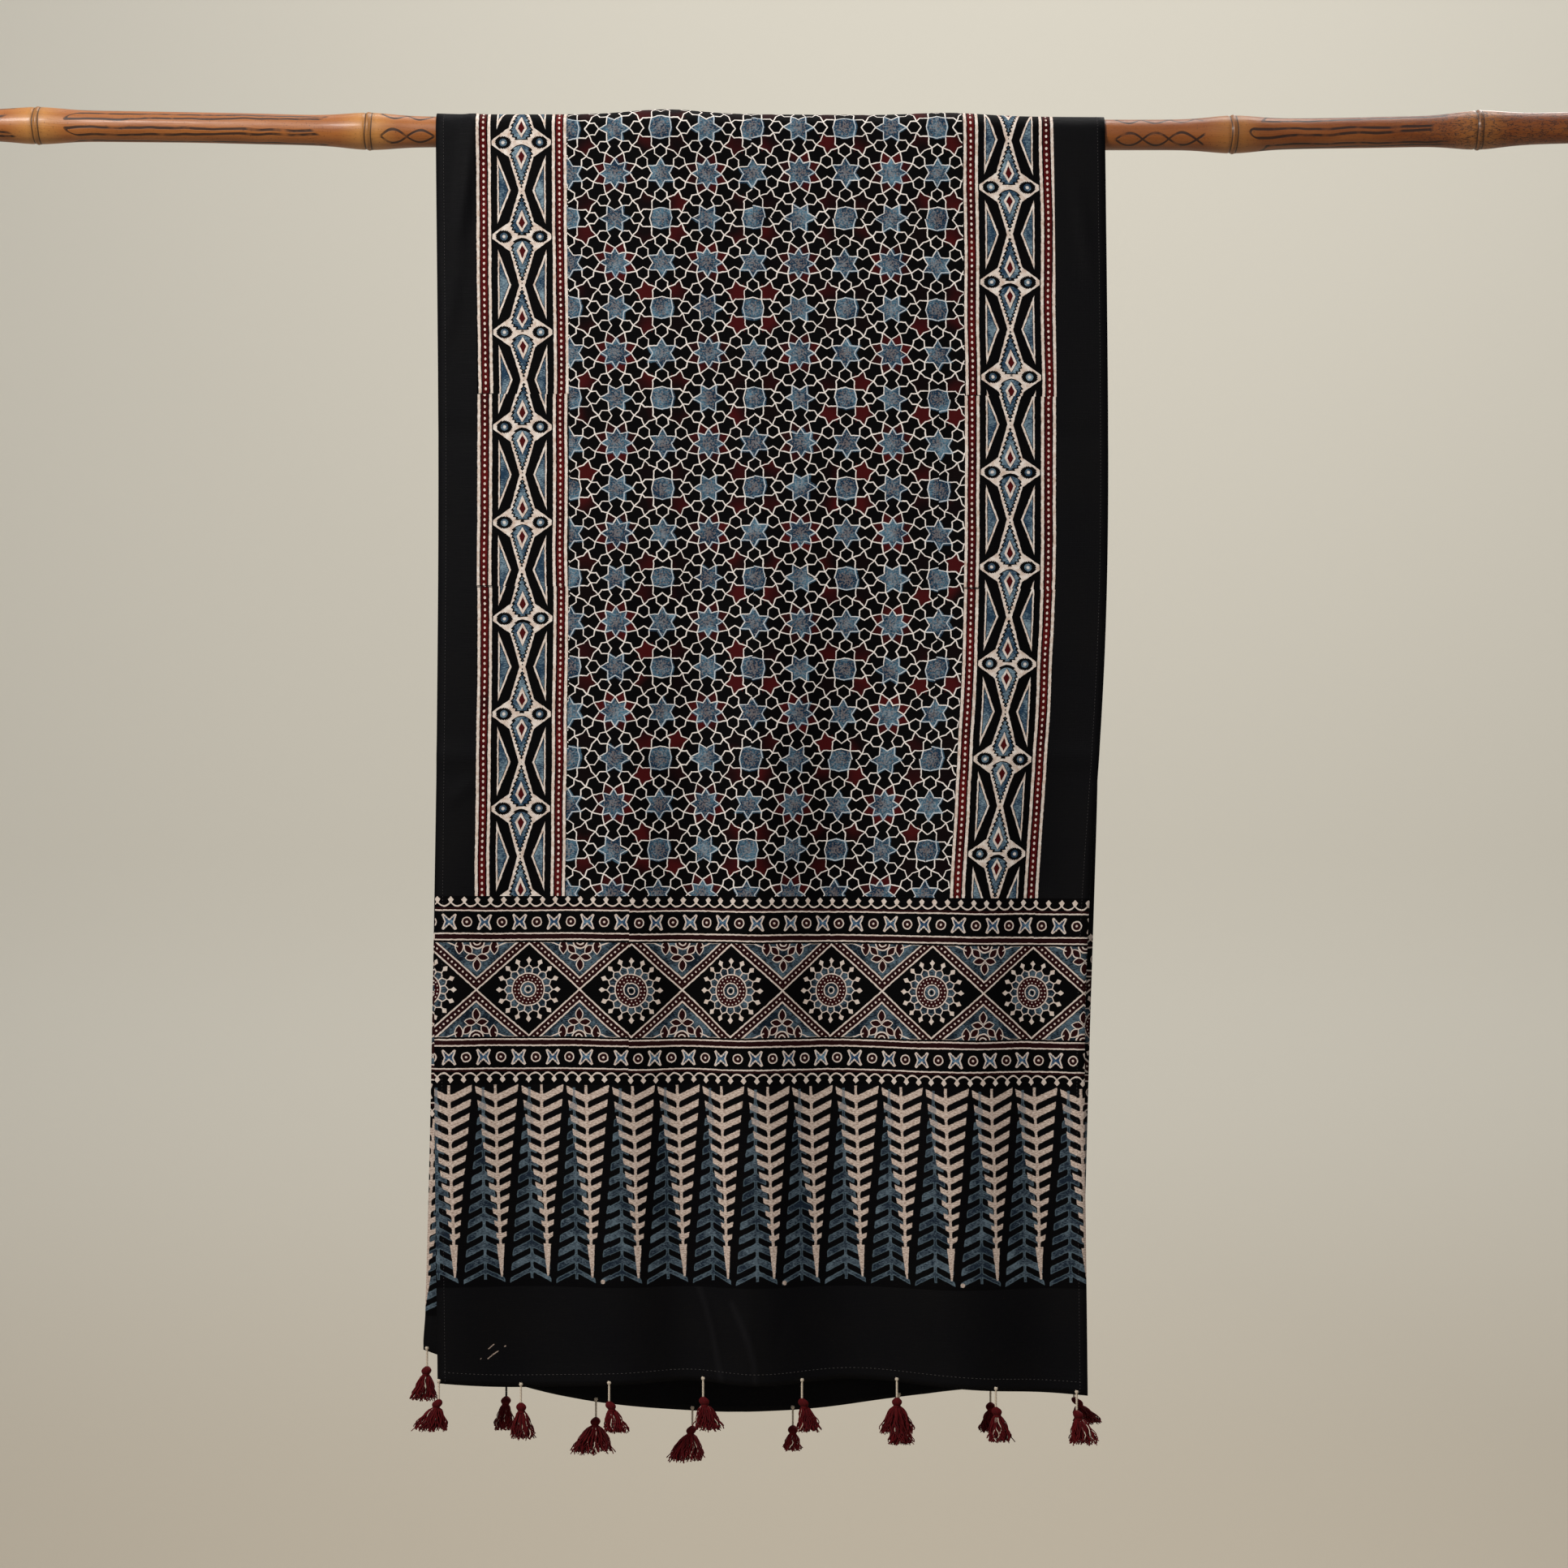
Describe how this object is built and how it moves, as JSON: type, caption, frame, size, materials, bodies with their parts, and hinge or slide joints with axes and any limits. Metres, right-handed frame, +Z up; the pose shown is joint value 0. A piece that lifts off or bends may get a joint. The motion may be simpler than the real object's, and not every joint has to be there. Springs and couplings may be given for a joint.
{
  "type": "ajrakh cloth on a bamboo pole",
  "caption": "Block-printed ajrakh stole with tasselled hems, hanging evenly over a lacquered bamboo pole, its print bands and plain ends showing on the front fall.",
  "frame": {"origin": "on the pole's axis, under the middle of the cloth", "axes": "+X along the pole to the right, -Y towards the viewer who faces the front fall, +Z up"},
  "size_m": [1.36, 0.069, 1.1161],
  "materials": {
    "printed_cloth": "soft, faintly lustrous modal and silk weave, block printed in black, indigo, madder red and undyed cream",
    "lacquered_cane": "honey to red-brown bamboo with burnt dark scrollwork under a glossy lacquer",
    "maroon_yarn": "loose matt maroon yarn with a few cream strands, on cream cords"
  },
  "bodies": {
    "root": {"cloth": "printed_cloth", "pole": "lacquered_cane", "tassel_front_1": "maroon_yarn", "tassel_front_2": "maroon_yarn", "tassel_front_3": "maroon_yarn", "tassel_front_4": "maroon_yarn", "tassel_front_5": "maroon_yarn", "tassel_front_6": "maroon_yarn", "tassel_front_7": "maroon_yarn", "tassel_front_8": "maroon_yarn", "tassel_back_1": "maroon_yarn", "tassel_back_2": "maroon_yarn", "tassel_back_3": "maroon_yarn", "tassel_back_4": "maroon_yarn", "tassel_back_5": "maroon_yarn", "tassel_back_6": "maroon_yarn", "tassel_back_7": "maroon_yarn", "tassel_back_8": "maroon_yarn"}
  },
  "joints": []
}
